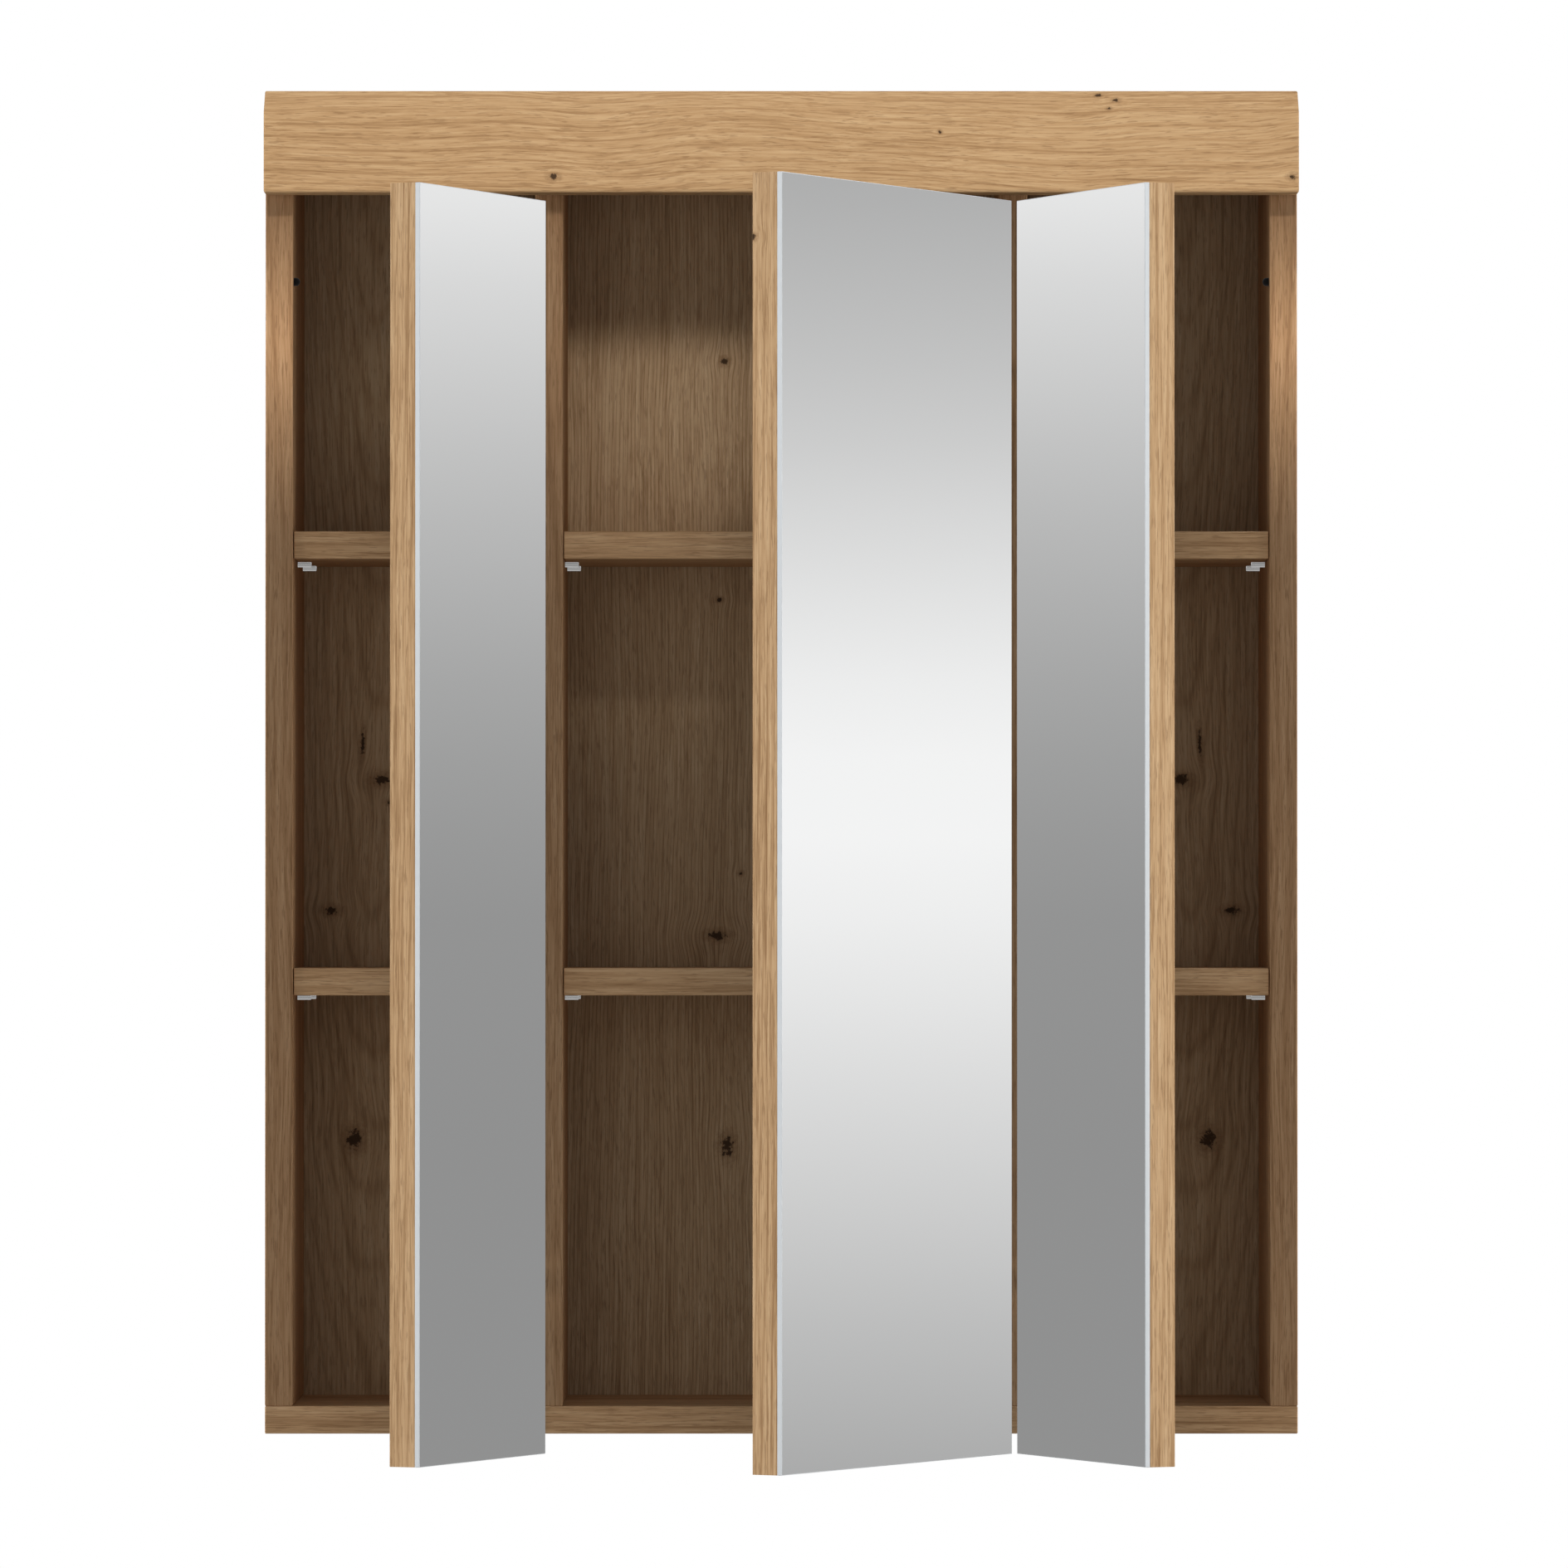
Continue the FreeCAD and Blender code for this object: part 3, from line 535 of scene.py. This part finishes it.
# the lowest and highest corner of a node in a door's own directions: width, depth and height
def localBox(node, origin, width, behind):
    points = nodePoints(node) - origin
    local = np.stack([points @ width, points @ behind, points[:, 2]], -1)
    return local.min(0), local.max(0)


doorBoard = {"radius": 0.6 * mm, "notchDepth": 10.8 * mm, "notchHeight": 29 * mm, "hingeInset": 100 * mm}
mirror = {"radius": 0.35 * mm}


# the outline of a door board with square notches for the hinges, and the inset direction of each corner
def notchedOutline(low, high):
    edge, free, bottom, top = low[0], high[0], low[2], high[2]
    deep, half = edge + doorBoard["notchDepth"], doorBoard["notchHeight"] / 2
    outline = [(edge, bottom), (free, bottom), (free, top), (edge, top)]
    inset = [(-1, -1), (1, -1), (1, 1), (-1, 1)]
    for level in (top - doorBoard["hingeInset"], bottom + doorBoard["hingeInset"]):
        outline += [(edge, level + half), (deep, level + half), (deep, level - half), (edge, level - half)]
        inset += [(-1, -1), (-1, -1), (-1, 1), (-1, 1)]
    return np.array(outline), np.array(inset, float)


for door in doorNames:
    origin, width, behind = doorBasis(door)
    basis = (width, (0, 0, 1), behind)
    flip = np.dot(np.cross(width, (0, 0, 1)), behind) < 0  # a left-handed basis turns the faces inside out
    low, high = localBox(f"{door}_door_board", origin, width, behind)
    outline, inset = notchedOutline(low, high)
    points, faces = carryProfile(outline, inset, (low[1], high[1]), doorBoard["radius"], basis, origin)
    faces = [face[::-1] for face in faces] if flip else faces
    body, node = f"{door}_door", f"{door}_door_board"
    finishPiece(f"{node}_eased", points, faces, finishes["door"], body, node)
    low, high = localBox(f"{door}_mirror", origin, width, behind)
    profile, inset = roundedRectangle(low[[0, 2]], high[[0, 2]], mirror["radius"])
    points, faces = carryProfile(profile, inset, (low[1], high[1]), mirror["radius"], basis, origin)
    faces = [face[::-1] for face in faces] if flip else faces
    glass = mirrorMaterial(f"{door}MirrorGlass", tuple(-behind))
    finishPiece(f"{door}_mirror_glass", points, faces, glass, body, f"{door}_mirror")
print("doors:", len(doorNames))


mergeDigits = 6  # points that agree to a micrometre are one


# the points and triangles of a node with its doubles merged
def mergedMesh(node):
    mesh = nodes[node].data
    corners = np.empty(len(mesh.loops), np.int32)
    mesh.loops.foreach_get("vertex_index", corners)
    keys, back = np.unique(np.round(nodePoints(node), mergeDigits), axis=0, return_inverse=True)
    return keys.astype(float), back.ravel()[corners].reshape(-1, 3)


# The box of each separate solid of a node, in the directions of a basis. Each point takes the lowest label of
# the triangles that it is in, until nothing changes, so joined points end with one label.
def solidBoxes(node, basis=unit, origin=(0, 0, 0)):
    points, faces = mergedMesh(node)
    label = np.arange(len(points))
    settled = False
    while not settled:
        spread = label.copy()
        np.minimum.at(spread, faces.ravel(), label[faces].min(1).repeat(3))
        settled = (spread == label).all()
        label = spread
    local = (points - np.array(origin)) @ np.array(basis, float).T
    return [(local[label == k].min(0), local[label == k].max(0)) for k in np.unique(label)]


# copies of one shape: local z is laid along each axis, and the foot is added
def placeCopies(local, faces, feet, axes, basis, origin):
    points, allFaces = [], []
    for number, (foot, axis) in enumerate(zip(feet, axes)):
        axis = np.array(axis, float)
        side = np.cross(axis, unit[np.argmin(np.abs(axis))])
        side /= np.linalg.norm(side)
        points.append(local @ np.stack([side, np.cross(axis, side), axis]) + np.array(foot))
        allFaces += [[corner + number * len(local) for corner in face] for face in faces]
    return np.concatenate(points) @ np.array(basis, float) + np.array(origin), allFaces


# rings of a profile of radius and height, turned about z at the given angles
def turnedRings(profile, angle):
    ring = np.stack([np.cos(angle), np.sin(angle), np.zeros(len(angle))], -1)
    profile = np.array(profile, float)
    return profile[:, :1, None] * ring[None] + profile[:, 1:, None] * unit[2]


# a turned profile with both ends capped, with a copy at each foot
def turnedPieces(profile, feet, axes, count=24, basis=unit, origin=(0, 0, 0)):
    local = turnedRings(profile, np.linspace(0, 2 * math.pi, count, endpoint=False))
    return placeCopies(local.reshape(-1, 3), ringFaces(len(profile), count), feet, axes, basis, origin)


screwHead = {  # the cross and the middle are shares of the head's radius, the tip shares of the shank's
    "rings": 10, "segments": 32, "middle": 0.06, "smoothAngle": 40,
    "crossWidth": 0.26, "crossReach": 0.62, "crossWall": (1.25, 0.75), "tipRadius": 0.4, "tipLength": 1.5,
}


# A domed head on a shank. Its height falls with the square of the radius, less a cross-shaped recess whose
# walls are a smooth step of the distance to the two bars.
def screwShape(length, sizes):
    rings, count = screwHead["rings"], screwHead["segments"]
    radius, shank, seat = sizes["head"], sizes["shank"], length - sizes["rise"]
    angle = np.linspace(0, 2 * math.pi, count, endpoint=False) + math.pi / count
    reach = np.linspace(screwHead["middle"], 1, rings)[::-1, None]
    x, y = reach * np.cos(angle), reach * np.sin(angle)
    wide, far = screwHead["crossWidth"], screwHead["crossReach"]
    upright = np.maximum(np.abs(x) / wide, np.abs(y) / far)
    level = np.maximum(np.abs(y) / wide, np.abs(x) / far)
    bar = np.minimum(upright, level)
    outer, inner = screwHead["crossWall"]
    sunk = np.clip((outer - bar) / (outer - inner), 0, 1)
    sunk = sunk * sunk * (3 - 2 * sunk)
    height = length - sizes["dome"] * reach ** 2 - sizes["recess"] * sunk
    top = np.stack([radius * x, radius * y, height * np.ones_like(x)], -1)
    tip = [(screwHead["tipRadius"] * shank, 0), (shank, screwHead["tipLength"] * shank)]
    low = tip + [(shank, seat), (radius, seat)]
    local = np.concatenate([turnedRings(low, angle), top]).reshape(-1, 3)
    return local, ringFaces(rings + len(low), count)


leafScrew = {
    "head": 3 * mm, "rise": 1.6 * mm, "shank": 1.4 * mm, "dome": 0.72 * mm, "recess": 1.28 * mm, "proud": 0,
}
bottomScrew = {
    "head": 4.5 * mm, "rise": 3.0 * mm, "shank": 2.4 * mm, "dome": 0.35 * mm, "recess": 0.8 * mm,
    "proud": 0.9 * mm,
}


# screws along one local axis: the head is at the high end where up is true
def screwsFrom(name, node, boxes, axis, headsUp, sizes, basis=unit, origin=(0, 0, 0)):
    feet, axes = [], []
    length = boxes[0][1][axis] - boxes[0][0][axis] + sizes["proud"]
    for (low, high), up in zip(boxes, headsUp):
        foot = (low + high) / 2
        foot[axis] = low[axis] if up else high[axis]
        feet.append(foot)
        axes.append(unit[axis] if up else -unit[axis])
    local, faces = screwShape(length, sizes)
    points, faces = placeCopies(local, faces, feet, axes, basis, origin)
    finishPiece(name, points, faces, finishes["zinc"], bodyOf[node], node, screwHead["smoothAngle"])


# a screw's head is on the partition's face that the screw is nearer to
partitionMiddle = (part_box("right_partition")[0][0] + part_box("right_partition")[1][0]) / 2
boxes = solidBoxes("fixed_leaf_screws")
outside = [abs(low[0] + high[0]) / 2 > partitionMiddle for low, high in boxes]
headsUp = [(low[0] > 0) == away for (low, _), away in zip(boxes, outside)]
screwsFrom("fixed_leaf_screw_heads", "fixed_leaf_screws", boxes, 0, headsUp, leafScrew)
boxes = solidBoxes("assembly_screws")
screwsFrom("assembly_screw_heads", "assembly_screws", boxes, 2, [False] * len(boxes), bottomScrew)
for door in doorNames:
    origin, width, behind = doorBasis(door)
    basis = np.array([width, behind, (0, 0, 1)])
    node = f"{door}_door_leaf_screws"
    boxes = solidBoxes(node, basis, origin)
    screwsFrom(f"{door}_door_leaf_screw_heads", node, boxes, 1, [True] * len(boxes), leafScrew, basis, origin)
print("screws: on", 2 + len(doorNames), "nodes")

shelfPin = {"ease": 0.35 * mm, "easeStep": 0.3, "smoothAngle": 50}
bumper = {  # heights and widths of its rings as shares of the whole
    "heights": (0, 0.45, 0.7, 0.88, 0.97, 1.0), "widths": (1, 1, 0.9, 0.7, 0.42, 0.12), "smoothAngle": 40,
}


# radius and height along a rod with both ends eased
def pinProfile(radius, length):
    ease, step = shelfPin["ease"], shelfPin["easeStep"] * shelfPin["ease"]
    start = [(radius - ease, 0), (radius - step, step), (radius, ease)]
    return start + [(width, length - along) for width, along in start[::-1]]


for door in doorNames:
    node = f"{door}_shelf_pins"
    boxes = solidBoxes(node)
    length, _, thick = boxes[0][1] - boxes[0][0]
    feet = [(low[0], (low[1] + high[1]) / 2, (low[2] + high[2]) / 2) for low, high in boxes]
    points, faces = turnedPieces(pinProfile(thick / 2, length), feet, [unit[0]] * len(feet))
    smooth = shelfPin["smoothAngle"]
    finishPiece(f"{node}_turned", points, faces, finishes["nickel"], bodyOf[node], node, smooth)
    node = f"{door}_door_bumpers"
    origin, width, behind = doorBasis(door)
    basis = np.array([width, behind, (0, 0, 1)])
    boxes = solidBoxes(node, basis, origin)
    _, thick, broad = boxes[0][1] - boxes[0][0]
    profile = [(broad / 2 * wide, thick * up) for wide, up in zip(bumper["widths"], bumper["heights"])]
    feet = [((low[0] + high[0]) / 2, low[1], (low[2] + high[2]) / 2) for low, high in boxes]
    points, faces = turnedPieces(profile, feet, [unit[1]] * len(feet), basis=basis, origin=origin)
    smooth = bumper["smoothAngle"]
    finishPiece(f"{node}_domed", points, faces, finishes["bumper"], bodyOf[node], node, smooth)
print("shelf pins and bumpers: on", 2 * len(doorNames), "nodes")

nodeFinish = {"back_panel": "back", "wood_dowels": "beech", "side_plugs": "plug"}
slotFinish = {"nickel_steel": "nickel", "zinc_fitting": "zinc", "clear_bumper": "bumper"}
for node, piece in nodes.items():
    finish = nodeFinish.get(node, slotFinish.get(slotOf[node], "level"))
    if "leaves" in node or "hinge" in node:
        finish = "leaf"
    piece.data.materials.clear()
    piece.data.materials.append(finishes[finish])

# reflections show the studio and not the cabinet, and bounced light passes through the doors
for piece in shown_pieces():
    piece.visible_glossy = False
    if "door_board" in piece.name or "mirror" in piece.name:
        piece.visible_diffuse = False
print("materials on", len(nodes), "nodes")

floor = {
    "drop": 0.45, "size": 3.0, "tones": ((0.84, 0.84, 0.84, 1), (0.88, 0.88, 0.88, 1)), "cloud": 3.0,
    "bounce": (0.3, 0.3, 0.3, 1), "roughness": 0.8, "glow": 0.7,
}


# near white to the camera, with a soft shadow, darker to bouncing light, and clear from below
def floorMaterial():
    material, tree, shader = startMaterial("paleFloor")
    where = put(tree, "TexCoord").outputs["Object"]
    cloud = put(tree, "TexNoise", {"Vector": where, "Scale": floor["cloud"], "Detail": 2.0}).outputs[0]
    pale = blendColours(tree, cloud, *floor["tones"])
    rays = put(tree, "LightPath").outputs
    colour = blendColours(tree, rays["Is Diffuse Ray"], pale, floor["bounce"])
    tree.links.new(colour, shader.inputs["Base Color"])
    shader.inputs["Roughness"].default_value = floor["roughness"]
    glow = put(tree, "Emission", {"Color": (1, 1, 1, 1), "Strength": 1.0})
    share = calc(tree, "MULTIPLY", rays["Is Camera Ray"], floor["glow"])
    mix = put(tree, "MixShader", {0: share, 1: shader.outputs[0], 2: glow.outputs[0]})
    underneath = put(tree, "NewGeometry").outputs["Backfacing"]
    clear = put(tree, "BsdfTransparent")
    mix = put(tree, "MixShader", {0: underneath, 1: mix.outputs[0], 2: clear.outputs[0]})
    tree.links.new(mix.outputs[0], tree.nodes["Material Output"].inputs[0])
    return material


lowest = cadBox[0][2] - floor["drop"]
corners = [(x * floor["size"], y * floor["size"], lowest) for x, y in ((-1, -1), (1, -1), (1, 1), (-1, 1))]
mesh = bpy.data.meshes.new("floor")
mesh.from_pydata(corners, [], [(0, 1, 2, 3)])
mesh.materials.append(floorMaterial())
card = bpy.data.objects.new("floor", mesh)
bpy.context.scene.collection.objects.link(card)
card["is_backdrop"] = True
card.visible_glossy = False  # reflections see the world's studio below the horizon too

# The world is white to the camera and plain to the light. Reflections see a studio whose grey follows the
# slope of the ray, with a band of its own to the right and a darker side towards the front, so mirrors show
# soft gradients.
studio = {
    "strength": 0.2, "colour": (0.9, 1.0, 1.16, 1), "reach": (-1.0, 1.0),
    "band": ((0.815, 0.85), (0.90, 0.935)), "front": (0.42, -0.8), "frontShade": 0.26,
    # slope and grey
    "below": ((-1.0, 0.72), (-0.76, 0.42), (-0.60, 0.76), (-0.46, 0.42), (-0.33, 0.78), (-0.20, 0.40)),
    "sides": ((-0.08, 0.30), (-0.0219, 0.298), (0.0004, 0.313), (0.0127, 0.352), (0.0248, 0.415),
              (0.0372, 0.50), (0.0491, 0.60), (0.0654, 0.761), (0.0723, 0.859), (0.0935, 1.0)),
    "bandGreys": ((-0.0754, 0.37), (-0.0549, 0.432), (-0.0404, 0.541), (-0.016, 0.761), (-0.0016, 0.90),
                  (0.0086, 0.963), (0.0175, 0.95), (0.0249, 0.885), (0.0495, 0.614), (0.069, 0.473),
                  (0.0885, 0.38)),
    "above": ((0.20, 0.62), (0.34, 0.90), (0.50, 0.48), (0.66, 0.80), (0.85, 0.40), (1.0, 0.30)),
}


# a colour ramp over slopes, with the level's own greys between soft waves below and above them
def greyBySlope(tree, slope, level):
    stops = studio["below"] + level + studio["above"]
    low, high = studio["reach"]
    share = put(tree, "MapRange", {"Value": slope, "From Min": low, "From Max": high}).outputs[0]
    ramp = put(tree, "ValToRGB", {0: share})
    elements = ramp.color_ramp.elements
    for slopeAt, _ in stops[1:-1]:
        elements.new((slopeAt - low) / (high - low))
    for element, (slopeAt, grey) in zip(elements, stops):
        element.position = (slopeAt - low) / (high - low)
        element.color = (grey, grey, grey, 1)
    return ramp.outputs[0]


world = bpy.data.worlds.new("studio")
bpy.context.scene.world = world
world.use_nodes = True
tree = world.node_tree
way = put(tree, "SeparateXYZ", {0: put(tree, "TexCoord").outputs["Generated"]}).outputs
(fadeIn, full), (stillFull, fadeOut) = studio["band"]
band = calc(tree, "MULTIPLY", rise(tree, way[0], fadeIn, full), rise(tree, way[0], fadeOut, stillFull))
sideGrey, bandGrey = (greyBySlope(tree, way[2], studio[level]) for level in ("sides", "bandGreys"))
shade = calc(tree, "MULTIPLY", rise(tree, way[1], *studio["front"]), studio["frontShade"])
grey = blendColours(tree, shade, blendColours(tree, band, sideGrey, bandGrey), (0, 0, 0, 1))
rays = put(tree, "LightPath").outputs
clear = calc(tree, "MAXIMUM", rays["Is Camera Ray"], rays["Is Transmission Ray"])
plain = put(tree, "Background", {"Color": studio["colour"], "Strength": studio["strength"]})
white = put(tree, "Background", {"Color": (1, 1, 1, 1), "Strength": 1.0})
mirrored = put(tree, "Background", {"Color": grey, "Strength": 1.0})
mix = put(tree, "MixShader", {0: rays["Is Glossy Ray"], 1: plain.outputs[0], 2: mirrored.outputs[0]})
mix = put(tree, "MixShader", {0: clear, 1: mix.outputs[0], 2: white.outputs[0]})
tree.links.new(mix.outputs[0], tree.nodes["World Output"].inputs[0])

softboxes = {  # place, aim, size, power, and the pieces that it lights, or all
    "leftSoftbox": ((-2.36, -0.30, -0.30), (0.0, -0.15, -0.38), (1.2, 1.8), 36.0, None),
    "rightSoftbox": ((2.36, -0.30, -0.30), (0.0, -0.15, -0.38), (1.2, 1.8), 35.0, None),
    "topSoftbox": ((0.0, 0.55, 2.2), (0.0, 0.0, 0.0), (1.2, 0.9), 29.0, None),
    "backSoftbox": ((0.0, 2.6, 0.2), (0.0, 0.0, -0.35), (1.4, 1.4), 52.0, None),
    "crownSoftbox": ((0.0, -2.4, 0.25), (0.0, -0.17, 0.0), (1.6, 0.8), 43.5, "crown_board"),
    "doorSoftbox": ((0.35, -3.0, 0.3), (0.0, -0.3, -0.4), (2.0, 1.6), 50.0, "door_board mirror"),
    "frontSoftbox": ((0.0, -4.2, -0.35), (0.0, 0.0, -0.38), (2.4, 1.6), 11.0, "side_panel partition"),
    "shelfSoftbox": ((0.0, -4.2, -0.35), (0.0, 0.0, -0.38), (2.4, 1.6), 30.0, "shelf bottom_panel top_panel"),
    "insideSoftbox": ((0.0, -4.2, -0.35), (0.0, 0.0, -0.38), (2.4, 1.6), 6.5, "back_panel rail"),
    "leftInsideSoftbox": ((-0.5, -1.5, -0.42), (-0.06, 0.0, -0.42), (0.4, 1.0), 0.8, "back_panel"),
    "rightInsideSoftbox": ((0.5, -1.5, -0.42), (0.06, 0.0, -0.42), (0.4, 1.0), 0.5, "back_panel"),
}
spots = {  # place, aim, cone in degrees, edge softness, radius, power, and the pieces that it lights
    "leftPanelSpot": ((-0.31, -0.62, 0.18), (-0.292, -0.15, -0.113), 11, 0.4, 0.05, 10.0, "side_panel"),
    "rightPanelSpot": ((0.31, -0.62, 0.18), (0.292, -0.15, -0.113), 11, 0.4, 0.05, 10.0, "side_panel"),
    "middleSpot": ((0.02, -1.20, 0.45), (-0.07, -0.01, -0.14), 13, 0.9, 0.1, 22.0,
                   "back_panel partition shelf"),
}


# turned so that the lamp's own downward axis points at the target
def aimed(place, target):
    way = np.array(target) - np.array(place)
    return (math.acos(-way[2] / np.linalg.norm(way)), 0, math.atan2(-way[0], way[1]))


# a lamp that lights only the pieces whose names hold one of the words, or everything where there are none
def hangLamp(name, lamp, place, target, power, words):
    lamp.energy = power
    box = bpy.data.objects.new(name, lamp)
    box.location = place
    box.rotation_euler = aimed(place, target)
    box.visible_camera = box.visible_glossy = False
    bpy.context.scene.collection.objects.link(box)
    if words:
        lit = bpy.data.collections.new(f"{name}Lights")
        box.light_linking.receiver_collection = lit
        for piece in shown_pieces():
            if any(word in piece.name for word in words.split()):
                lit.objects.link(piece)


for name, (place, target, size, power, words) in softboxes.items():
    lamp = bpy.data.lights.new(name, "AREA")
    lamp.shape = "RECTANGLE"
    lamp.size, lamp.size_y = size
    hangLamp(name, lamp, place, target, power, words)
for name, (place, target, cone, blend, radius, power, words) in spots.items():
    lamp = bpy.data.lights.new(name, "SPOT")
    lamp.spot_size = math.radians(cone)
    lamp.spot_blend = blend
    lamp.shadow_soft_size = radius
    hangLamp(name, lamp, place, target, power, words)
print("stage: floor and", len(softboxes) + len(spots), "lamps")

# lens and sensor in millimetres, and how far the camera looks up and to the right in degrees
view = {"place": (0.0, -6.04, -0.448), "lens": 232.63, "sensor": 36.0, "up": 0.753, "right": 0.0153}
camera = bpy.data.cameras.new("camera")
camera.lens = view["lens"]
camera.sensor_width = view["sensor"]
eye = bpy.data.objects.new("camera", camera)
eye.location = view["place"]
eye.rotation_euler = (math.radians(90 + view["up"]), 0, math.radians(-view["right"]))
bpy.context.scene.collection.objects.link(eye)
bpy.context.scene.camera = eye
bpy.context.scene.view_settings.view_transform = "Standard"
